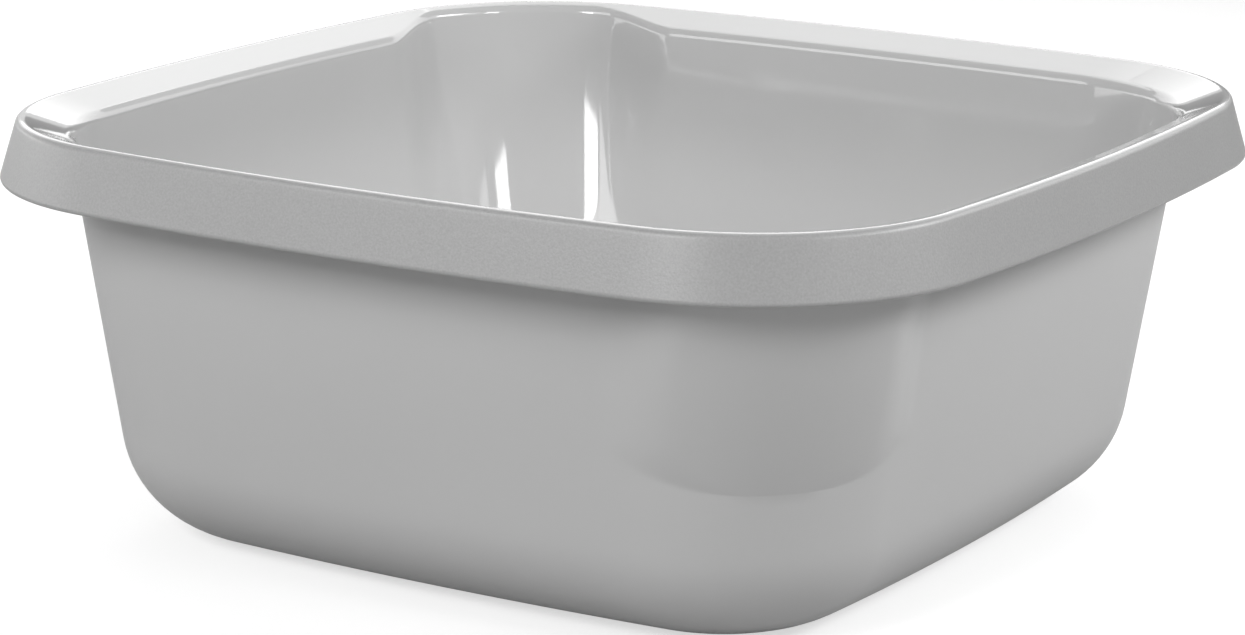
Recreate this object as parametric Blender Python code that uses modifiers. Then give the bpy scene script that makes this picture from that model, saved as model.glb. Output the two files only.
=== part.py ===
"""A square bowl for washing up: one thin-walled plastic moulding with a turned-down rim.

Metres, +Z up. The origin is the middle of the underside, on the surface that the bowl stands on. The sides
face +X, -X, +Y and -Y, and the two pouring corners are the ones at (+X, -Y) and (-X, +Y).

The moulding is a single sheet: floor, basin wall, a ledge that slopes up and out, a rounded crest, and a
skirt that turns down outside it. The sheet drawn here is the face that looks into the basin and up, and the
wall's thickness lies behind it.
"""

import math

import bmesh
import bpy
import numpy as np

# Overall sizes
HEIGHT = 0.1291
WALL = 0.0020

# The crest, the highest line of the rim: a square with bowed sides and round corners
CREST_WIDTH = 0.3100
CREST_CORNER_RADIUS = 0.0664
CREST_SIDE_RADIUS = 1.1010

# The basin's inside faces where they would meet the floor, and where they would meet the ledge
FOOT_WIDTH = 0.2492
FOOT_CORNER_RADIUS = 0.0492
FOOT_SIDE_RADIUS = 1.1585
LEDGE_WIDTH = 0.0134
BASIN_TOP_CORNER_RADIUS = 0.0590
BASIN_TOP_SIDE_RADIUS = 1.1755

# The floor: a standing band round a panel that is raised a little, so that the bowl doesn't rock
BASE_FILLET_RADIUS = 0.0326
BAND_WIDTH = 0.0110
PANEL_RISE = 0.0012
PANEL_STEP = 0.0030

# The rim's section
LEDGE_SLOPE = math.radians(22.3)
LEDGE_EDGE_RADIUS = 0.0043
CREST_RADIUS = 0.0024
SKIRT_DROP = 0.0184
SKIRT_FLARE = 0.0073
SKIRT_EDGE_RADIUS = 0.0007

# The pouring corners: the wall leans out to the crest and takes up nearly all of the ledge. It bulges, so that
# it leans most at its foot and least at its top.
POUR_LEDGE_WIDTH = 0.0040
POUR_EDGE_RADIUS = 0.0038
POUR_FOOT = 0.0505
POUR_BULGE_SHARE = 0.32

# Where the plain wall swings out into the pouring corner, along the crest from a side's middle, and how far
# the start and the end of the swing move apart towards the rim
POUR_START = 0.0790
POUR_END = 0.1040
POUR_START_FLARE = 0.0035
POUR_END_FLARE = 0.0030
POUR_FLARE_POWER = 4

# The round foot of the pocket: its height, and how much faster the swing's start moves there than its end
POUR_FOOT_HEIGHT = 0.0150
POUR_FOOT_PACE = 1.6

# Steps of the mesh along the section, and along half of a side
FILLET_STEPS = 5
POUR_STEPS = 6
EDGE_STEPS = 3
CREST_STEPS = 5
SIDE_STEPS = 3
SWEEP_STEPS = 3
CORNER_STEPS = 5
POUR_CORNER_STEPS = 7
MERGE = 0.00001

GREY = (0.43, 0.43, 0.43, 1.0)
ROUGHNESS = 0.3


def outset(outline, distance):
    """The outline moved outwards by the distance: all three of its sizes grow by it."""
    return tuple(size + distance for size in outline)


def between(first, second, share):
    """The outline that lies at this share of the way from the first to the second."""
    return tuple(start + (end - start) * share for start, end in zip(first, second))


# An outline is (half width at a side's middle, radius of the bowed side, radius of the corner).
CREST = (CREST_WIDTH / 2, CREST_SIDE_RADIUS, CREST_CORNER_RADIUS)
FOOT = (FOOT_WIDTH / 2, FOOT_SIDE_RADIUS, FOOT_CORNER_RADIUS)
BASIN_TOP = (CREST[0] - LEDGE_WIDTH, BASIN_TOP_SIDE_RADIUS, BASIN_TOP_CORNER_RADIUS)
POUR_TOP = outset(CREST, -POUR_LEDGE_WIDTH)


def corner_of(outline):
    """The place c of the corner arc's centre (c, c), and the angle at which the bowed side runs into it.

    The side's arc is centred on the axis at half_width - side_radius, and touches the corner's arc from
    inside, so the two centres are side_radius - corner_radius apart.
    """
    half_width, side_radius, corner_radius = outline
    behind = side_radius - half_width
    apart = side_radius - corner_radius
    centre = (math.sqrt(2 * apart**2 - behind**2) - behind) / 2
    return centre, math.atan2(centre, centre + behind)


def crest_lengths():
    """Length along the crest from a side's middle to the end of its bow, and on to the diagonal."""
    turn = corner_of(CREST)[1]
    bow = CREST_SIDE_RADIUS * turn
    return bow, bow + CREST_CORNER_RADIUS * (math.pi / 4 - turn)


def outline_points(outline, stations):
    """X and Y of the side that faces +X, at stations given as signed lengths along the crest.

    A station on the crest's bow falls on the outline's bow, at the same share of it, and one on the crest's
    corner falls on the outline's corner in the same way.
    """
    half_width, side_radius, corner_radius = outline
    bow, diagonal = crest_lengths()
    centre, turn = corner_of(outline)
    reach = np.abs(stations)
    angle = np.interp(reach, (0, bow, diagonal), (0, turn, math.pi / 4))
    on_bow = reach <= bow
    x = np.where(
        on_bow,
        half_width + side_radius * (np.cos(angle) - 1),
        centre + corner_radius * np.cos(angle),
    )
    y = np.where(on_bow, side_radius * np.sin(angle), centre + corner_radius * np.sin(angle))
    return x, np.sign(stations) * y


def basin_line(z):
    """The outline of the plain basin wall's inside face at a height: straight from the foot to the ledge."""
    top = HEIGHT + ledge_lift() - LEDGE_WIDTH * math.tan(LEDGE_SLOPE)
    return between(FOOT, BASIN_TOP, (z - WALL) / (top - WALL))


def ledge_lift():
    """How far the ledge's plane, carried on to the crest line, passes over the rounded crest."""
    return CREST_RADIUS / math.cos(LEDGE_SLOPE) - CREST_RADIUS


def arc(centre, radius, start, end, steps):
    """Points (w, z) on an arc of the section. Angles are from straight up, positive towards the basin."""
    angles = np.linspace(start, end, steps + 1)
    return [(centre[0] + radius * math.sin(a), centre[1] + radius * math.cos(a)) for a in angles]


def rim_section(ledge_width, foot, edge_radius, bulge_share):
    """The rim's section as points (w, z), from the basin wall over the crest to the skirt's lower edge.

    w is the distance inside the crest line. The wall comes up from the foot (w, z), and arrives at its top
    with 1 - bulge_share of its mean slope. A rounded edge turns it into the ledge, and the crest's arc turns
    the ledge into the skirt.
    """
    corner = (ledge_width, HEIGHT + ledge_lift() - ledge_width * math.tan(LEDGE_SLOPE))
    mean_slope = (foot[0] - corner[0]) / (corner[1] - foot[1])
    wall_angle = math.pi / 2 - math.atan(mean_slope * (1 - bulge_share))
    half_turn = (wall_angle - LEDGE_SLOPE) / 2
    bisector = LEDGE_SLOPE + half_turn
    inward = edge_radius / math.cos(half_turn)
    edge_centre = (corner[0] - inward * math.sin(bisector), corner[1] - inward * math.cos(bisector))
    crest_centre = (0, HEIGHT - CREST_RADIUS)
    drop = SKIRT_DROP - CREST_RADIUS
    skirt_angle = math.pi - math.atan2(SKIRT_FLARE, drop)
    skirt_angle -= math.acos(CREST_RADIUS / math.hypot(SKIRT_FLARE, drop))
    return (
        arc(edge_centre, edge_radius, wall_angle, LEDGE_SLOPE, EDGE_STEPS)
        + arc(crest_centre, CREST_RADIUS, LEDGE_SLOPE, -skirt_angle, CREST_STEPS)
        + [(-SKIRT_FLARE, HEIGHT - SKIRT_DROP)]
    )


def rim_rows(section, top, ledge_width):
    """Rows (outline, z) of the rim. The ledge's outlines run from the wall's top to the crest line."""
    rows = []
    for w, z in section:
        outline = outset(CREST, -w) if w < 0 else between(CREST, top, w / ledge_width)
        rows.append((outline, z))
    return rows


def floor_rows():
    """Rows (outline, z) of the raised panel, the standing band and the fillet up to the wall's lean."""
    lean = math.atan2(basin_line(HEIGHT)[0] - FOOT[0], HEIGHT - WALL)
    to_fillet = BASE_FILLET_RADIUS * math.tan(math.pi / 4 - lean / 2)
    band = outset(FOOT, -to_fillet)
    panel = outset(band, -BAND_WIDTH)
    rows = [(outset(panel, -PANEL_STEP), WALL + PANEL_RISE), (panel, WALL)]
    for angle in np.linspace(0, math.pi / 2 - lean, FILLET_STEPS + 1):
        rise = BASE_FILLET_RADIUS * (1 - math.cos(angle))
        z = WALL + rise
        plain = basin_line(z)
        half_width = band[0] + BASE_FILLET_RADIUS * math.sin(angle)
        rows.append((outset(plain, half_width - plain[0]), z))
    return rows


def sheet_rows():
    """The rows of the plain section and of the pouring section, and how high up the pocket each row is."""
    shared = floor_rows() + [(basin_line(POUR_FOOT), POUR_FOOT)]
    foot_w = CREST[0] - basin_line(POUR_FOOT)[0]
    plain = rim_section(LEDGE_WIDTH, (foot_w, POUR_FOOT), LEDGE_EDGE_RADIUS, 0)
    pour = rim_section(POUR_LEDGE_WIDTH, (foot_w, POUR_FOOT), POUR_EDGE_RADIUS, POUR_BULGE_SHARE)
    climbs = np.linspace(0, 1, POUR_STEPS + 1)[1:-1]
    plain_rows = list(shared)
    pour_rows = list(shared)
    pour_corner_z = HEIGHT + ledge_lift() - POUR_LEDGE_WIDTH * math.tan(LEDGE_SLOPE)
    for climb in climbs:
        z = POUR_FOOT + (plain[0][1] - POUR_FOOT) * climb
        plain_rows.append((basin_line(z), z))
        z = POUR_FOOT + (pour[0][1] - POUR_FOOT) * climb
        share = (z - POUR_FOOT) / (pour_corner_z - POUR_FOOT)
        share += POUR_BULGE_SHARE * share * (1 - share)
        pour_rows.append((between(basin_line(POUR_FOOT), POUR_TOP, share), z))
    plain_rows += rim_rows(plain, BASIN_TOP, LEDGE_WIDTH)
    pour_rows += rim_rows(pour, POUR_TOP, POUR_LEDGE_WIDTH)
    climbs = np.concatenate([np.zeros(len(shared)), climbs, np.ones(len(plain))])
    return plain_rows, pour_rows, climbs


def pour_weight(stations, climb):
    """0 on the plain wall and 1 in the pouring corner, with an S-curve between them.

    Near the pocket's foot the curve's end follows a quarter of an ellipse to the diagonal and its start
    catches it up, so that the pocket has a U-shaped outline. Close to the rim the two move apart a little.
    """
    short_of_top = 1 - min(climb * (HEIGHT - POUR_FOOT) / POUR_FOOT_HEIGHT, 1)
    to_diagonal = (crest_lengths()[1] - POUR_END) * (1 - math.sqrt(1 - short_of_top**2))
    flare = climb**POUR_FLARE_POWER
    start = POUR_START - POUR_START_FLARE * flare + POUR_FOOT_PACE * to_diagonal
    end = POUR_END + POUR_END_FLARE * flare + to_diagonal
    share = np.clip((-stations - start) / (end - start), 0, 1)
    return share**2 * (3 - 2 * share)


def side_stations():
    """Signed lengths along the crest, from the pouring corner's diagonal to the plain corner's."""
    bow, diagonal = crest_lengths()
    rim_start = POUR_START - POUR_START_FLARE
    marks = (
        (-diagonal, -bow, POUR_CORNER_STEPS),
        (-bow, -rim_start, SWEEP_STEPS),
        (-rim_start, 0, SIDE_STEPS),
        (0, bow, SIDE_STEPS),
        (bow, diagonal, CORNER_STEPS),
    )
    return np.unique(np.concatenate([np.linspace(start, end, steps + 1) for start, end, steps in marks]))


def side_sheet():
    """The mesh of the side that faces +X, from diagonal to diagonal and from the floor's middle to the skirt."""
    stations = side_stations()
    plain_rows, pour_rows, climbs = sheet_rows()
    grid = [np.tile((0, 0, WALL + PANEL_RISE), (len(stations), 1))]
    for (plain, plain_z), (pour, pour_z), climb in zip(plain_rows, pour_rows, climbs):
        weight = pour_weight(stations, climb)
        plain_x, plain_y = outline_points(plain, stations)
        pour_x, pour_y = outline_points(pour, stations)
        x = plain_x + (pour_x - plain_x) * weight
        y = plain_y + (pour_y - plain_y) * weight
        z = plain_z + (pour_z - plain_z) * weight
        grid.append(np.stack([x, y, z], axis=1))
    points = np.concatenate(grid)
    across = len(stations)
    first = np.arange((len(grid) - 1) * across).reshape(-1, across)[:, :-1].ravel()
    faces = np.stack([first, first + across, first + across + 1, first + 1], axis=1)
    mesh = bpy.data.meshes.new("square_bowl")
    mesh.from_pydata(points.tolist(), [], faces.tolist())
    work = bmesh.new()
    work.from_mesh(mesh)
    bmesh.ops.remove_doubles(work, verts=work.verts, dist=MERGE)
    work.to_mesh(mesh)
    work.free()
    mesh.shade_smooth()
    return mesh


def grey_plastic():
    """Grey polypropylene with the satin gloss of a polished mould."""
    material = bpy.data.materials.new("grey_plastic")
    material.use_nodes = True
    shader = material.node_tree.nodes["Principled BSDF"]
    shader.inputs["Base Color"].default_value = GREY
    shader.inputs["Roughness"].default_value = ROUGHNESS
    shader.inputs["Metallic"].default_value = 0
    return material


def build_bowl(collection):
    """The whole moulding: one side, mirrored in both diagonals, thickened, with its lower edge rounded."""
    diagonals = bpy.data.objects.new("bowl_diagonals", None)
    diagonals.rotation_euler.z = math.pi / 4
    collection.objects.link(diagonals)

    bowl = bpy.data.objects.new("square_bowl", side_sheet())
    bowl.data.materials.append(grey_plastic())
    collection.objects.link(bowl)

    mirror = bowl.modifiers.new("four_sides", "MIRROR")
    mirror.mirror_object = diagonals
    mirror.use_axis = (True, True, False)
    mirror.merge_threshold = MERGE

    thickness = bowl.modifiers.new("wall_thickness", "SOLIDIFY")
    thickness.thickness = WALL
    thickness.offset = -1
    thickness.use_even_offset = True
    thickness.use_quality_normals = True

    edge = bowl.modifiers.new("skirt_edge", "BEVEL")
    edge.limit_method = "ANGLE"
    edge.angle_limit = math.radians(60)
    edge.width = SKIRT_EDGE_RADIUS
    edge.segments = 2
    return bowl


def main():
    for obj in list(bpy.data.objects):
        bpy.data.objects.remove(obj)
    collection = bpy.data.collections.new("square_bowl")
    bpy.context.scene.collection.children.link(collection)
    build_bowl(collection)


main()
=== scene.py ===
# %% [markdown]
# # A square washing-up bowl in grey plastic
#
# The real bowl is a single injection moulding. One sheet of grey polypropylene, two millimetres thick, makes
# the floor, the walls, the sloping ledge of the rim, the rounded crest and the skirt that turns down outside
# it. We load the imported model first, because it fixes the size of everything that follows.

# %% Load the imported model
import math

import bpy
import numpy as np
from mathutils import Matrix, Vector


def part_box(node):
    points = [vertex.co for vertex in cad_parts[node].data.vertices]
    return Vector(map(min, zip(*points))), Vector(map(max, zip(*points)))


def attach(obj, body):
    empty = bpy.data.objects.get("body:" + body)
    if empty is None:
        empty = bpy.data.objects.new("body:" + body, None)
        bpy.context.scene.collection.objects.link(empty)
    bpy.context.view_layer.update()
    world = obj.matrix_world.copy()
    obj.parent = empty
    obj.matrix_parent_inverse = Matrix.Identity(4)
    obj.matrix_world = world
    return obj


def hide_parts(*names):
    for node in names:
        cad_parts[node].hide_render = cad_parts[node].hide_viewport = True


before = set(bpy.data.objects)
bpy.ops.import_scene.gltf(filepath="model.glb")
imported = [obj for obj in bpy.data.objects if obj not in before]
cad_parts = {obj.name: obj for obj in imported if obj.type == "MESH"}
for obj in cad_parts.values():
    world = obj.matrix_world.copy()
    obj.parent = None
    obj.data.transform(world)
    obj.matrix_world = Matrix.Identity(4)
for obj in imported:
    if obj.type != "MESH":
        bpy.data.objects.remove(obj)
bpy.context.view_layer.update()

low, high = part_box("square_bowl")
print("packed bowl, millimetres:", [round(size * 1000, 1) for size in high - low])

# %% [markdown]
# ## The plan: a square with bowed sides
#
# Seen from above, every level of the bowl is a square whose sides bow outwards a little and whose corners
# are round. Two circles describe it: a large one for the side and a small one for the corner. The small
# circle touches the large one from inside, so the curve runs from one into the other without a kink. A
# spline could be drawn by eye instead, but three plain sizes are easier to change and give true arcs.

# %% Sizes of the plan, in metres
height = high.z
crest = (0.1550, 1.1010, 0.0664)        # half width, radius of the bowed side, radius of the corner
foot = (0.1246, 1.1585, 0.0492)         # the basin's inside faces, carried down to the floor
basin_top = (0.1416, 1.1755, 0.0590)    # the same faces, carried up to the ledge
wall = 0.0020


def outset(outline, distance):
    """An outline moved outwards: its half width and both of its radii grow by the distance."""
    return tuple(size + distance for size in outline)


def between(first, second, share):
    """An outline on the way from the first to the second, each size in a straight line."""
    return tuple(start + (end - start) * share for start, end in zip(first, second))


def corner_of(outline):
    """The corner circle's centre (c, c), and the angle at which the side's arc runs into it.

    The side's circle is centred at x = half width - side radius. The two centres are side radius - corner
    radius apart, which is Pythagoras in c: c squared + (c + behind) squared = apart squared.
    """
    half_width, side_radius, corner_radius = outline
    behind = side_radius - half_width
    apart = side_radius - corner_radius
    centre = (math.sqrt(2 * apart**2 - behind**2) - behind) / 2
    return centre, math.atan2(centre, centre + behind)


bow_turn = corner_of(crest)[1]
bow_length = crest[1] * bow_turn
half_side_length = bow_length + crest[2] * (math.pi / 4 - bow_turn)
print("crest: bow", round(bow_length * 1000, 1), "mm and half a corner more, to",
      round(half_side_length * 1000, 1), "mm")

# %% [markdown]
# ## A point on an outline
#
# We need the same place on many outlines at once, so that their points join up into clean quads. A station
# is a length along the crest, counted from the middle of a side. Whatever share of the crest's bow or corner
# it has passed, it has passed the same share of any other outline.

# %% Points of one side


def side_points(outline, stations):
    """X and Y of the side that faces +X, for an array of stations, negative towards -Y.

    On the bow the angle grows with the station and x = half width - R (1 - cos), y = R sin. On the corner
    the point is the circle's centre plus the radius times (cos, sin) of the angle.
    """
    half_width, side_radius, corner_radius = outline
    centre, turn = corner_of(outline)
    reach = np.abs(stations)
    angle = np.interp(reach, (0, bow_length, half_side_length), (0, turn, math.pi / 4))
    on_bow = reach <= bow_length
    x = np.where(on_bow, half_width - side_radius * (1 - np.cos(angle)),
                 centre + corner_radius * np.cos(angle))
    y = np.where(on_bow, side_radius * np.sin(angle), centre + corner_radius * np.sin(angle))
    return x, np.sign(stations) * y


diagonal_x, diagonal_y = side_points(crest, np.array([half_side_length]))
print("crest from the middle to a corner:",
      round(math.hypot(diagonal_x[0], diagonal_y[0]) * 1000, 1), "mm")

# %% [markdown]
# ## The rim's section
#
# Cut through the rim and there are five runs: the wall comes up, a rounded edge turns it into the ledge, the
# ledge climbs outwards to the crest, the crest rolls over, and the skirt comes down. Each run is a straight
# line or an arc that starts in the direction where the last one ended. The ledge slopes towards the basin so
# that water runs back in.

# %% Sizes of the section
ledge_slope = math.radians(22.3)
ledge_width = crest[0] - basin_top[0]
ledge_edge_radius = 0.0043
crest_radius = 0.0024
skirt_drop = 0.0184
skirt_flare = 0.0073
ledge_lift = crest_radius / math.cos(ledge_slope) - crest_radius

pour_ledge_width = 0.0040
pour_edge_radius = 0.0038
pour_top = outset(crest, -pour_ledge_width)

# The skirt leaves the crest's arc where a line to the skirt's lower edge touches it.
skirt_fall = skirt_drop - crest_radius
skirt_reach = math.hypot(skirt_flare, skirt_fall)
skirt_angle = math.pi - math.atan2(skirt_flare, skirt_fall) - math.acos(crest_radius / skirt_reach)

edge_steps, ledge_steps, crest_steps, skirt_steps = 10, 8, 16, 6
print("ledge", round(ledge_width * 1000, 1), "mm wide, crest's arc to",
      round(math.degrees(skirt_angle)), "degrees past its top")

# %% The section as a function


def arc(centre, radius, start, end, steps):
    """Points (w, z) on an arc. Angles are measured from straight up, positive towards the basin."""
    angles = np.linspace(start, end, steps + 1)
    return np.stack([centre[0] + radius * np.sin(angles), centre[1] + radius * np.cos(angles)], axis=1)


def run(start, end, steps):
    """Points inside a straight run. A cosine crowds them at its ends, so that shading stays flat there."""
    share = (1 - np.cos(np.linspace(0, math.pi, steps + 1)[1:-1])) / 2
    return np.asarray(start) + np.outer(share, np.subtract(end, start))


def ledge_corner(width):
    """Where the wall's face would meet the ledge's plane if the edge between them were sharp, as (w, z)."""
    return width, height + ledge_lift - width * math.tan(ledge_slope)


def rim_section(width, foot_point, edge_radius, curve_share):
    """The rim's section as an array of (w, z), with w the distance inside the crest line.

    A wall that bulges by the curve share arrives at its top with a slope of 1 - share times its mean slope.
    The rounded edge's centre lies on the bisector of wall and ledge, at radius / cos(half the turn) from
    their corner.
    """
    corner = ledge_corner(width)
    mean_slope = (foot_point[0] - corner[0]) / (corner[1] - foot_point[1])
    wall_angle = math.pi / 2 - math.atan(mean_slope * (1 - curve_share))
    half_turn = (wall_angle - ledge_slope) / 2
    bisector = ledge_slope + half_turn
    inward = edge_radius / math.cos(half_turn)
    edge_centre = (corner[0] - inward * math.sin(bisector), corner[1] - inward * math.cos(bisector))
    edge = arc(edge_centre, edge_radius, wall_angle, ledge_slope, edge_steps)
    top = arc((0, height - crest_radius), crest_radius, ledge_slope, -skirt_angle, crest_steps)
    lower_edge = (-skirt_flare, height - skirt_drop)
    return np.concatenate([edge, run(edge[-1], top[0], ledge_steps), top,
                           run(top[-1], lower_edge, skirt_steps), [lower_edge]])


def basin_line(z):
    """The plain basin wall's outline at a height: a straight line from the foot to the ledge's corner."""
    return between(foot, basin_top, (z - wall) / (ledge_corner(ledge_width)[1] - wall))


print("the ledge falls", round((height - ledge_corner(ledge_width)[1]) * 1000, 1), "mm towards the basin")

# %% [markdown]
# ## The floor and what it stands on
#
# The middle of the floor is raised by about a millimetre, so that the bowl stands on a flat band near its
# edge and doesn't rock if the middle sags as it cools. A soft step joins the two, and a large fillet turns
# the band up into the walls. For a round bowl, Screw or Spin would turn one profile into all of this. Here
# the profile is a list of rows, each an outline at a height, and the outlines carry the square shape.
#
# The photograph doesn't show the underside, so its sizes are the usual ones.

# %% Rows of the floor
base_fillet_radius = 0.0326
band_width = 0.0110
band_shares = (0.1, 0.5, 0.9)           # rows across the band, as shares of its width
panel_rise = 0.0012
panel_step = 0.0030
gate_mark = (0.0060, 0.0066, 0.0054)    # almost a circle, but its sides keep a bow, so no two points meet
fillet_steps, panel_steps, step_steps = 18, 6, 6


def floor_rows():
    """Rows (outline, z): raised panel, a soft S-shaped step, standing band and the fillet into the wall."""
    lean = math.atan2(basin_line(height)[0] - foot[0], height - wall)
    band = outset(foot, -base_fillet_radius * math.tan(math.pi / 4 - lean / 2))
    panel = outset(band, -band_width)
    inner = outset(panel, -panel_step)
    rows = [(between(gate_mark, inner, share), wall + panel_rise)
            for share in np.linspace(0, 1, panel_steps + 1)]
    for share in np.linspace(0, 1, step_steps + 1)[1:]:
        rows.append((between(inner, panel, share), wall + panel_rise * (1 + math.cos(math.pi * share)) / 2))
    rows += [(between(panel, band, share), wall) for share in band_shares]
    for angle in np.linspace(0, math.pi / 2 - lean, fillet_steps + 1):
        z = wall + base_fillet_radius * (1 - math.cos(angle))
        plain = basin_line(z)
        half_width = band[0] + base_fillet_radius * math.sin(angle)
        rows.append((outset(plain, half_width - plain[0]), z))
    return rows


print("rows of the floor and its fillet:", len(floor_rows()))

# %% [markdown]
# ## Two sections: plain and pouring
#
# Two opposite corners are for pouring. There the wall leans further out until it reaches the crest, and the
# ledge narrows to a few millimetres. Rather than cut a pocket into the plain bowl, we write the whole
# section twice, plain and pouring, with as many points in each, and mix the two along the side.

# %% Rows of both sections
pour_foot = 0.0505
pour_curve_share = 0.32
climb_power = 1.5                       # crowds the pocket's rows towards its foot, where it curves most
low_wall_steps, pour_steps = 6, 30


def rim_rows(section, top, width):
    """Rows (outline, z) of the rim. Outlines on the ledge lie between the wall's top and the crest line."""
    return [(outset(crest, -w) if w < 0 else between(crest, top, w / width), z) for w, z in section]


def both_sections():
    """Rows of the plain and of the pouring section, and how far up the pouring pocket each row is."""
    shared = floor_rows()
    wall_start = shared[-1][1]
    for share in np.linspace(0, 1, low_wall_steps + 1)[1:]:
        z = wall_start + (pour_foot - wall_start) * share
        shared.append((basin_line(z), z))
    foot_point = (crest[0] - basin_line(pour_foot)[0], pour_foot)
    plain = rim_section(ledge_width, foot_point, ledge_edge_radius, 0)
    pour = rim_section(pour_ledge_width, foot_point, pour_edge_radius, pour_curve_share)
    climbs = np.linspace(0, 1, pour_steps + 1)[1:-1] ** climb_power
    plain_rows, pour_rows = list(shared), list(shared)
    for climb in climbs:
        z = pour_foot + (plain[0][1] - pour_foot) * climb
        plain_rows.append((basin_line(z), z))
        z = pour_foot + (pour[0][1] - pour_foot) * climb
        share = (z - pour_foot) / (ledge_corner(pour_ledge_width)[1] - pour_foot)
        share += pour_curve_share * share * (1 - share)
        pour_rows.append((between(basin_line(pour_foot), pour_top, share), z))
    plain_rows += rim_rows(plain, basin_top, ledge_width)
    pour_rows += rim_rows(pour, pour_top, pour_ledge_width)
    climbs = np.concatenate([np.zeros(len(shared)), climbs, np.ones(len(plain))])
    return plain_rows, pour_rows, climbs


plain_rows, pour_rows, climbs = both_sections()
print("rows from the floor's middle to the skirt's edge:", len(climbs))

# %% [markdown]
# ## Where the pouring corner begins
#
# The pocket doesn't start at one line. It opens along an S-curve, wide at the rim and tight lower down, and
# its foot is a soft U. So the mix is a function of two things: the station along the side, and how high up
# the pocket we are.

# %% The mix of the two sections
pour_start, pour_end = 0.0790, 0.1040    # from the side's middle, along the crest
pour_start_flare, pour_end_flare = 0.0035, 0.0030
pour_flare_power = 4
pour_foot_height = 0.0150
pour_foot_pace = 1.6


def pour_mix(stations, climb):
    """0 on the plain wall, 1 in the pouring corner, and the curve 3 s squared - 2 s cubed between them.

    s runs from the curve's start to its end. Near the pocket's foot the end follows a quarter of an ellipse
    to the diagonal, and the start catches it up. Close to the rim they move apart by a power of the climb.
    """
    short_of_top = 1 - min(climb * (height - pour_foot) / pour_foot_height, 1)
    to_diagonal = (half_side_length - pour_end) * (1 - math.sqrt(1 - short_of_top**2))
    start = pour_start - pour_start_flare * climb**pour_flare_power + pour_foot_pace * to_diagonal
    end = pour_end + pour_end_flare * climb**pour_flare_power + to_diagonal
    share = np.clip((-stations - start) / (end - start), 0, 1)
    return share**2 * (3 - 2 * share)


print("the pocket opens", round(pour_start * 1000, 1), "mm from the side's middle, of",
      round(half_side_length * 1000, 1), "to the diagonal")

# %% [markdown]
# ## One side, then all four
#
# A grid of rows and stations gives the side that faces +X, from one diagonal to the other. The other three
# are mirror images of it in the two diagonals. Swapping x and y mirrors in one diagonal, and swapping them
# with both signs changed mirrors in the other. Each swap also turns the order of the stations round, so the
# four sides chain into one closed ring.

# %% The face that looks into the basin and up
corner_steps, sweep_steps, side_steps = 30, 12, 16


def side_stations():
    """Stations from the pouring corner's diagonal to the plain corner's, evenly spaced in each stretch."""
    rim_start = pour_start - pour_start_flare
    marks = (
        (-half_side_length, -bow_length, corner_steps),
        (-bow_length, -rim_start, sweep_steps),
        (-rim_start, 0, side_steps),
        (0, bow_length, side_steps),
        (bow_length, half_side_length, corner_steps),
    )
    return np.unique(np.concatenate([np.linspace(start, end, steps + 1) for start, end, steps in marks]))


def side_grid(stations):
    """The side that faces +X as an array (row, station, xyz), mixed from the plain and pouring sections."""
    grid = np.empty((len(climbs), len(stations), 3))
    for row, climb in enumerate(climbs):
        mix = pour_mix(stations, climb)
        (plain, plain_z), (pour, pour_z) = plain_rows[row], pour_rows[row]
        plain_x, plain_y = side_points(plain, stations)
        pour_x, pour_y = side_points(pour, stations)
        grid[row, :, 0] = plain_x + (pour_x - plain_x) * mix
        grid[row, :, 1] = plain_y + (pour_y - plain_y) * mix
        grid[row, :, 2] = plain_z + (pour_z - plain_z) * mix
    return grid


def ring_of(side):
    """All four sides as an array (row, station round the bowl, xyz), the shared diagonals left in once.

    The ring runs anticlockwise seen from above: the +X side, the +Y side, the -X side and the -Y side.
    """
    swapped = side[:, ::-1, [1, 0, 2]]
    half_turn = [-1, -1, 1]
    sides = [side, swapped, side * half_turn, swapped * half_turn]
    return np.concatenate([points[:, :-1] for points in sides], axis=1)


stations = side_stations()
inside_face = ring_of(side_grid(stations))
print("rows and points round the bowl:", inside_face.shape[:2])

# %% [markdown]
# ## The wall's thickness
#
# Solidify could thicken the sheet, but we want a rounded lower edge on the skirt and a gate mark under the
# floor, so we work the back face out ourselves. Each point moves against its normal by the wall's thickness.
# A normal is the cross product of the two directions in which the grid runs, taken on each quad and
# averaged at the corners.

# %% The back face, and the closed shell
edge_round_steps = 8
gate_recess = 0.0004


def grid_normals(grid):
    """Unit normals (row, station, xyz) of a ring grid: quad normals averaged over the quads at each point."""
    along = np.roll(grid, -1, axis=1) - grid
    quad_along = along[:-1] + along[1:]
    up = grid[1:] - grid[:-1]
    quad_up = up + np.roll(up, -1, axis=1)
    quad = np.cross(quad_up, quad_along)
    quad /= np.linalg.norm(quad, axis=2, keepdims=True)
    quad += np.roll(quad, 1, axis=1)
    total = np.concatenate([quad[:1], quad[:-1] + quad[1:], quad[-1:]])
    return total / np.linalg.norm(total, axis=2, keepdims=True)


def rounded_edge(front, back, beyond):
    """Rows that join the skirt's two faces with half a circle: middle + half gap (cos) + beyond (sin)."""
    middle, half_gap = (front + back) / 2, (front - back) / 2
    angles = np.linspace(0, math.pi, edge_round_steps + 1)[1:-1, None, None]
    return middle + half_gap * np.cos(angles) + beyond * np.sin(angles)


normals = grid_normals(inside_face)
outside_face = inside_face - normals * wall
outside_face[0, :, 2] += gate_recess    # a shallow dent under the middle of the floor

# Both faces of the skirt stop half a wall short, so that the round edge ends where the section does.
down_the_skirt = inside_face[-1] - inside_face[-2]
down_the_skirt /= np.linalg.norm(down_the_skirt, axis=1, keepdims=True)
lift = down_the_skirt * wall / 2
inside_face[-1] -= lift
outside_face[-1] -= lift
lower_edge = rounded_edge(inside_face[-1], outside_face[-1], lift)
shell = np.concatenate([inside_face, lower_edge, outside_face[::-1]])
print("shell grid:", shell.shape[:2])

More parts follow.
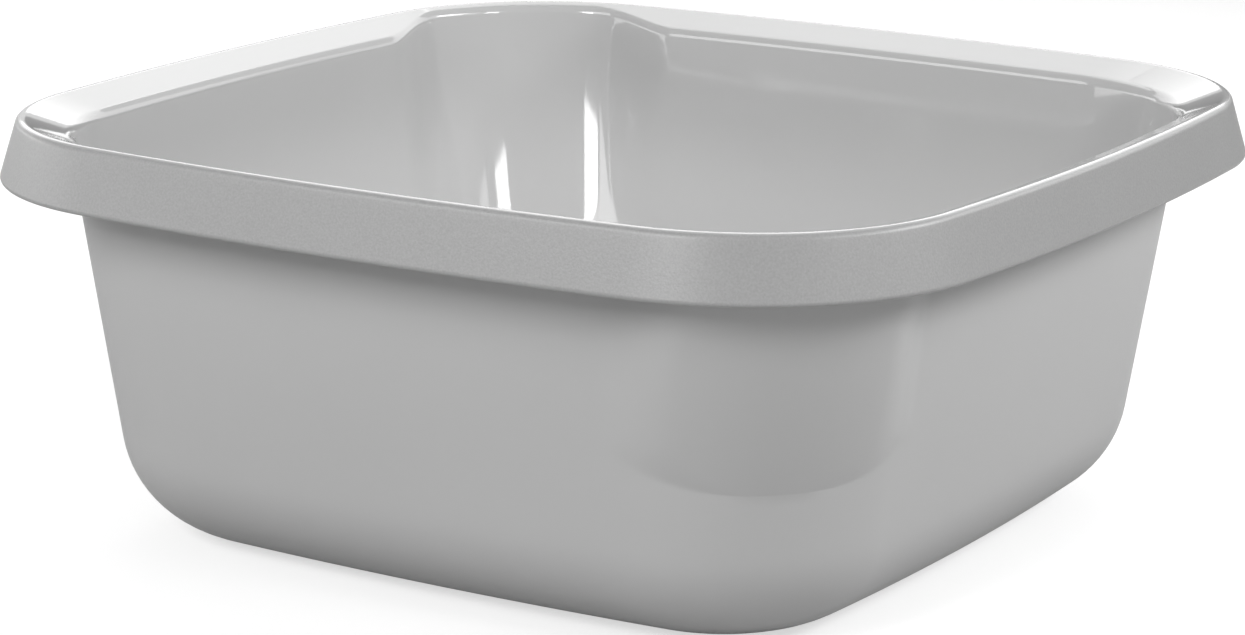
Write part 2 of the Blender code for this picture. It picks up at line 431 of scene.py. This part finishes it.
# %% [markdown]
# ## From grid to mesh
#
# The shell is one tube of quads that starts at the middle of the floor inside, goes over the rim and ends in
# the middle of the floor outside. Its first and last rows are small rings, which a point in the middle
# closes. NumPy works out which points each face joins, and from_pydata puts the lot into a mesh.

# %% The bowl's mesh


def shell_mesh(name, grid):
    """A closed mesh from a ring grid: quads between rows, and a fan of triangles at either end."""
    rows, across = grid.shape[:2]
    points = np.concatenate([grid.reshape(-1, 3), [grid[0].mean(axis=0)], [grid[-1].mean(axis=0)]])
    corner = np.arange((rows - 1) * across).reshape(rows - 1, across)
    turned = np.roll(corner, -1, axis=1)
    quads = np.stack([corner, corner + across, turned + across, turned], axis=2).reshape(-1, 4)
    first_pole, last_pole = rows * across, rows * across + 1
    start = np.arange(across)
    end = start + (rows - 1) * across
    first_fan = np.stack([np.full(across, first_pole), start, np.roll(start, -1)], axis=1)
    last_fan = np.stack([np.full(across, last_pole), np.roll(end, -1), end], axis=1)
    mesh = bpy.data.meshes.new(name)
    mesh.from_pydata(points.tolist(), [], quads.tolist() + first_fan.tolist() + last_fan.tolist())
    mesh.shade_smooth()
    return mesh


bowl = bpy.data.objects.new("grey_bowl", shell_mesh("grey_bowl", shell))
bpy.context.scene.collection.objects.link(bowl)
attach(bowl, "root")
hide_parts("square_bowl")
print("bowl faces:", len(bowl.data.polygons))

# %% [markdown]
# ## Where the grain is
#
# The mould gives the skirt a grain and leaves the rest smooth, so the plastic has to know where it is. A mask
# could be painted by hand. But the finish changes only from row to row, so one number for each row is enough.
# Two attributes on the mesh's points carry such numbers to the material.

# %% Which rows are grained, and which are outside
grain_start, grain_fade = 15, 20        # degrees past the crest's top


def finish_of_rows():
    """Two numbers for each row of the shell: how grained it is, and whether it is on the outside.

    The grain fades in on the crest's roll, a little past its top, covers the skirt's outer face and fades out
    over the lower edge. The outside is everything from the lower edge back to the floor.
    """
    crest_start = len(climbs) - skirt_steps - crest_steps - 1
    past_top = np.degrees(np.linspace(-ledge_slope, skirt_angle, crest_steps + 1))
    on_crest = np.clip((past_top - grain_start) / grain_fade, 0, 1)
    over_edge = np.linspace(1, 0, edge_round_steps + 1)[1:-1]
    grained = np.concatenate([np.zeros(crest_start), on_crest, np.ones(skirt_steps), over_edge,
                              np.zeros_like(climbs)])
    outside = np.concatenate([np.zeros_like(climbs), 1 - over_edge, np.ones_like(climbs)])
    return grained, outside


def paint(mesh, name, rows, across):
    """Puts one number per row on the mesh's points, as an attribute. The poles take their own row's."""
    values = np.append(np.repeat(rows, across), (rows[0], rows[-1]))
    mesh.attributes.new(name, "FLOAT", "POINT").data.foreach_set("value", values)


# The grained rows also carry the skirt's painted shade, and the other inside rows the basin's painted light.
grained, outside = finish_of_rows()
paint(bowl.data, "grained", grained, shell.shape[1])
paint(bowl.data, "outside", outside, shell.shape[1])
print("rows with grain:", int((grained > 0).sum()), "of", len(grained))

# %% [markdown]
# ## Shader maths as plain Python
#
# A material could be wired by hand, one link at a time. It reads better as a formula. Value wraps a node's
# output socket and gives it Python's operators, so that `1 - mask * 0.5` adds the two Math nodes that it
# needs. Graph wraps a node tree, and its node method adds a node of any other kind.

# %% A wrapper for sockets, and one for node trees


class Value:
    """A number that varies over a surface: a node's output socket, with Python's operators on it."""

    def __init__(self, graph, socket):
        self.graph, self.socket = graph, socket

    def _math(self, operation, *numbers):
        """Adds one Math node and feeds it the numbers."""
        node = self.graph.tree.nodes.new("ShaderNodeMath")
        node.operation = operation
        for socket, number in zip(node.inputs, numbers):
            self.graph.feed(socket, number)
        return Value(self.graph, node.outputs[0])

    def __add__(self, other):
        return self._math("ADD", self, other)

    def __sub__(self, other):
        return self._math("SUBTRACT", self, other)

    def __rsub__(self, other):
        return self._math("SUBTRACT", other, self)

    def __mul__(self, other):
        return self._math("MULTIPLY", self, other)

    __radd__ = __add__
    __rmul__ = __mul__


class Graph:
    """The node tree of a material or of the world, with the shader that its output shows."""

    def __init__(self, owner, shader):
        owner.use_nodes = True
        self.owner, self.tree = owner, owner.node_tree
        self.shader = self.tree.nodes[shader]

    def feed(self, socket, value):
        """Sets a socket to a number or colour, or links a Value to it."""
        if isinstance(value, Value):
            self.tree.links.new(value.socket, socket)
        else:
            socket.default_value = value

    def node(self, kind, settings, inputs):
        """Adds a node: first its settings, then its sockets. Returns its outputs as Values, by name."""
        node = self.tree.nodes.new(kind)
        for name, setting in settings.items():
            setattr(node, name, setting)
        for name, value in inputs.items():
            self.feed(node.inputs[name], value)
        return {socket.name: Value(self, socket) for socket in node.outputs}

    def shade(self, **inputs):
        """Feeds the shader's sockets. Base_Color stands for Base Color."""
        for name, value in inputs.items():
            self.feed(self.shader.inputs[name.replace("_", " ")], value)


# %% [markdown]
# ## Grey polypropylene
#
# The plastic is dyed through, so there is no paint to wear off and the colour hardly varies. What varies is
# the gloss, because the mould's steel is finished in three ways. Its core is polished, so the basin and the
# ledge shine and show sharp reflections. Its outer half is only smoothed, so the outer walls blur what they
# reflect. The skirt, where wet hands hold the bowl, has a fine grain that glitters a little. The grain is
# drawn twice from one noise: as tiny bumps, and as a slightly uneven grey. The skirt's grey is also darkened
# as a whole. That is painted shade, which offsets the extra light that the skirt catches because it faces a
# little upwards.
#
# A broad and very faint mottling stays in any large moulding, where the melt cooled at different rates. It
# comes from a second noise, on Object coordinates in metres, and changes both the grey and the gloss.
#
# Thin polypropylene also lets some light through. Inside the basin the walls look lighter from where the
# skirt no longer shades them outside down to the bend, and the floor, which stands on the paper, doesn't.
# Subsurface scattering could do this, but it is slow and noisy in a wall of two millimetres. Here that light
# is painted instead: the inside's grey rises with depth, eased in and out by two Map Range nodes. It looks
# the same and bakes well.

# %% The plastic
grey = 0.43
polished_roughness, smoothed_roughness, grained_roughness = 0.06, 0.30, 0.38
skirt_painted_shade = 0.63                     # painted shade: the skirt's grey is darkened to this share, against the light it catches
grain_scale, grain_detail = 1500, 1     # grains per metre, and how many finer noises lie over them
grain_contrast, grain_depth = 0.28, 0.00003
mottle_scale, mottle_detail, mottle_contrast = 22, 3, 0.04
noise_middle = 0.5                      # the mean of a noise, taken off so that it changes a value both ways
painted_through_light = 0.30                    # painted light through the basin's walls, as a share of their grey
painted_light_start, painted_light_full = 0.114, 0.064      # heights: the painted light sets in below the skirt's shade
painted_light_fade, painted_light_end = 0.030, 0.008        # and fades out towards the floor, which the paper shades

plastic = Graph(bpy.data.materials.new("grey_plastic"), "Principled BSDF")
place = plastic.node("ShaderNodeTexCoord", {}, {})["Object"]
grained_mask = plastic.node("ShaderNodeAttribute", {"attribute_name": "grained"}, {})["Fac"]
outside_mask = plastic.node("ShaderNodeAttribute", {"attribute_name": "outside"}, {})["Fac"]
inside_mask = 1 - outside_mask - grained_mask
level = plastic.node("ShaderNodeSeparateXYZ", {}, {"Vector": place})["Z"]


def noise(scale, detail):
    """A noise on Object coordinates, about as often below zero as above it."""
    sockets = {"Vector": place, "Scale": scale, "Detail": detail}
    return plastic.node("ShaderNodeTexNoise", {}, sockets)["Fac"] - noise_middle


def eased(start, end):
    """0 before the start level and 1 past the end level, with 3 s squared - 2 s cubed between them."""
    sockets = {"Value": level, "From Min": start, "From Max": end}
    return plastic.node("ShaderNodeMapRange", {"interpolation_type": "SMOOTHSTEP"}, sockets)["Result"]


grain, mottle = noise(grain_scale, grain_detail), noise(mottle_scale, mottle_detail)
# where the painted light inside the basin sets in and fades out
below_skirt, above_floor = eased(painted_light_start, painted_light_full), eased(painted_light_end, painted_light_fade)
print("nodes for places, masks and noise:", len(plastic.tree.nodes))

# %% Its colour, gloss and grain
mottled_grey = grey + mottle * (grey * mottle_contrast)
# the grain's uneven tone, and painted shade that darkens the whole skirt
grain_tone_and_painted_shade = (1 - grained_mask * (1 - skirt_painted_shade)) * (1 + grain * grained_mask * grain_contrast)
# painted light: the basin's inside grows lighter with depth
inside_painted_light = 1 + inside_mask * below_skirt * above_floor * painted_through_light
roughness = (polished_roughness + outside_mask * (smoothed_roughness - polished_roughness)
             + grained_mask * (grained_roughness - polished_roughness) + mottle * mottle_contrast)
bumps = plastic.node("ShaderNodeBump", {}, {"Height": grain * grained_mask, "Distance": grain_depth})
plastic.shade(Base_Color=grain_tone_and_painted_shade * inside_painted_light * mottled_grey, Roughness=roughness,
              Normal=bumps["Normal"])
bowl.data.materials.append(plastic.owner)
print("nodes in the plastic:", len(plastic.tree.nodes))

# %% [markdown]
# ## Paper floor, white room
#
# The photograph's background is pure white. Lighting the paper until it turns white would bleach the bowl as
# well. Instead the paper is a mid grey in the lamps' light, and glows only for rays that come straight from
# the camera and, much more faintly, from a reflection, because the real bowl mirrors a greyer floor than one
# sees. The bowl's shadow still shows on the paper, because the glow alone isn't enough to make it white. The
# world works in a similar way: white to look at and to mirror, nearly dark as a lamp. The sheet ends just
# inside the ring of lamps, where the dark card stands behind the bowl, so that its edges run into the white
# world without a grey band. Only its corners reach past the lamps and are a little grey.

# %% The floor and the world
floor_reach, floor_drop = 1.1, 0.0002      # the drop keeps the paper clear of the standing band
paper_colour, paper_roughness = 0.42, 0.9
glow_seen, glow_mirrored = 0.62, 0.05
room_light = 0.05


def glow(graph, seen, mirrored):
    """The glow that a camera ray finds, the one that a mirrored or let-through ray finds, and else none."""
    ray = graph.node("ShaderNodeLightPath", {}, {})
    return ray["Is Camera Ray"] * seen + (ray["Is Glossy Ray"] + ray["Is Transmission Ray"]) * mirrored


def flat_sheet(name, corners, material):
    """A staged rectangle, from its four corners."""
    mesh = bpy.data.meshes.new(name)
    mesh.from_pydata(corners, [], [(0, 1, 2, 3)])
    mesh.materials.append(material)
    sheet = bpy.data.objects.new(name, mesh)
    bpy.context.scene.collection.objects.link(sheet)
    return sheet


paper = Graph(bpy.data.materials.new("white_paper"), "Principled BSDF")
paper.shade(Base_Color=(paper_colour, paper_colour, paper_colour, 1), Roughness=paper_roughness,
            Emission_Color=(1, 1, 1, 1), Emission_Strength=glow(paper, glow_seen, glow_mirrored))
floor_corners = [(across * floor_reach, along * floor_reach, -floor_drop)
                 for across, along in ((-1, -1), (1, -1), (1, 1), (-1, 1))]
flat_sheet("studio_floor", floor_corners, paper.owner)

bpy.context.scene.world = bpy.data.worlds.new("studio")
room = Graph(bpy.context.scene.world, "Background")
room.shade(Color=(1, 1, 1, 1), Strength=room_light + glow(room, 1 - room_light, 1 - room_light))
print("paper grey", paper_colour, "and glow", glow_seen, "to the camera,", glow_mirrored, "to a reflection")

# %% [markdown]
# ## Lamps that the plastic mirrors
#
# A glossy thing shows its lamps. The two white streaks in the far pouring corner are the mirror images of two
# narrow strips, and their pointed tips are the strips' lower ends, so those strips stand where a reflected
# ray from each streak leads. A third, faint strip beside the right one leaves the faint streak of the
# photograph. The other lamps are broad softboxes, chosen by what they do to each face: the right one lights
# the wall on the right, the front one and the low left one light the wall on the left, the back ones make the
# far ledges shine, and two dim ones around the camera lift the near corner.
#
# Each lamp is described as a photographer would point at it: an azimuth, an elevation and a brightness. An
# area lamp's power is pi times its brightness times its area, so a larger softbox at the same brightness
# looks the same in a reflection and gives more light.

# %% A softbox, placed by its angles
lamp_distance = 1.3
rim_middle = Vector((0, 0, height))


def direction_of(azimuth, elevation):
    """Unit vector towards an azimuth in degrees, from +Y round to +X, and an elevation in degrees."""
    azimuth, elevation = math.radians(azimuth), math.radians(elevation)
    return Vector((math.sin(azimuth) * math.cos(elevation), math.cos(azimuth) * math.cos(elevation),
                   math.sin(elevation)))


def softbox(name, centre, facing, width, length, radiance):
    """A flat lamp that shines against the facing vector. Its power is pi times radiance times area."""
    data = bpy.data.lights.new(name, "AREA")
    data.shape = "RECTANGLE"
    data.size, data.size_y = width, length
    data.energy = math.pi * radiance * width * length
    lamp = bpy.data.objects.new(name, data)
    lamp.rotation_euler = facing.to_track_quat("Z", "Y").to_euler()
    lamp.location = centre
    bpy.context.scene.collection.objects.link(lamp)
    return lamp


def panel(name, azimuths, elevations, radiance):
    """A softbox that spans the given azimuths and elevations in degrees, seen from the middle of the rim.

    An angle of 2 a spans 2 tan a times the distance, and azimuths draw together by the elevation's cosine.
    """
    half_across = math.radians(azimuths[1] - azimuths[0]) / 2
    half_up = math.radians(elevations[1] - elevations[0]) / 2
    azimuth, elevation = sum(azimuths) / 2, sum(elevations) / 2
    facing = direction_of(azimuth, elevation)
    width = 2 * lamp_distance * math.tan(half_across) * math.cos(math.radians(elevation))
    length = 2 * lamp_distance * math.tan(half_up)
    lamp = softbox(name, rim_middle + facing * lamp_distance, facing, width, length, radiance)
    print(name, round(width, 2), "by", round(length, 2), "m,", round(lamp.data.energy, 1), "W")


# %% The lamps
panel("back_softbox", (290, 390), (14, 36), 2.1)
panel("high_back_softbox", (300, 345), (36, 60), 2.5)
panel("right_back_softbox", (30, 50), (14, 36), 2.1)
panel("right_softbox", (50, 82), (22, 36), 15.0)
panel("faint_strip", (83, 91), (20.7, 36), 3.5)
panel("right_strip", (98, 109), (22.3, 36), 15.0)
panel("camera_side_softbox", (109, 171), (18, 44), 0.25)
panel("low_camera_side_softbox", (109, 171), (1, 14), 1.5)
panel("left_strip", (171, 182), (18.9, 36), 19.0)
panel("front_softbox", (182, 222), (18, 41), 5.2)
panel("low_left_softbox", (225, 286), (4, 14), 3.4)

# %% [markdown]
# ## A dark card behind
#
# Pale plastic against a white room would have no edges. Photographers stand a dark card just outside the
# picture, so that the rounded edges mirror something darker. Here it is a strip of felt behind the bowl: the
# camera looks straight through it, but the ends of the far ledges and the rim's roll mirror it, and that
# draws the grey corners of the photograph. It stops just below the back softboxes, which stay unshaded.

# %% The dark card
felt_colour, felt_roughness = 0.15, 1
card_distance, card_left, card_right = floor_reach, -1.2, 1.0
card_elevation = 13                     # of its top, in degrees, seen from the middle of the rim
card_lift = 0.002
card_top = height + card_distance * math.tan(math.radians(card_elevation))
felt = Graph(bpy.data.materials.new("dark_felt"), "Principled BSDF")
felt.shade(Base_Color=(felt_colour, felt_colour, felt_colour, 1), Roughness=felt_roughness)
card_corners = [(card_left, card_distance, card_lift), (card_right, card_distance, card_lift),
                (card_right, card_distance, card_top), (card_left, card_distance, card_top)]
dark_card = flat_sheet("dark_card", card_corners, felt.owner)
dark_card.visible_camera = False
print("card top at", round(card_top, 3), "m")

# %% [markdown]
# ## The camera
#
# The photograph says nothing about its lens. Place, direction, roll and lens were found together, by moving
# the camera until the outline of the bowl lay on the photograph's to within two pixels. The lens is long, so
# the near and far rims are almost the same size, and the slight roll is the photographer's.

# %% The camera
eye = Vector((0.61423, -1.01999, 0.35571))
azimuth = math.radians(31.247)
elevation = math.radians(13.927)
roll = math.radians(-0.663)
lens_length, sensor_width = 114.37, 36  # millimetres
forward = Vector((-math.sin(azimuth) * math.cos(elevation), math.cos(azimuth) * math.cos(elevation),
                  -math.sin(elevation)))
level_right = Vector((math.cos(azimuth), math.sin(azimuth), 0))
level_up = level_right.cross(forward)
right = level_right * math.cos(roll) - level_up * math.sin(roll)
up = level_right * math.sin(roll) + level_up * math.cos(roll)
camera_data = bpy.data.cameras.new("camera")
camera_data.lens = lens_length
camera_data.sensor_width = sensor_width
camera = bpy.data.objects.new("camera", camera_data)
camera.matrix_world = Matrix((right, up, -forward)).transposed().to_4x4()
camera.location = eye
bpy.context.scene.collection.objects.link(camera)
bpy.context.scene.camera = camera
print("camera", round((eye - rim_middle).length, 3), "m from the rim, lens", lens_length, "mm")

# %% [markdown]
# ## Finish
#
# The view transform is Standard, so that the plastic's grey comes out as it was set.

# %% Finish
bpy.context.scene.view_settings.view_transform = "Standard"
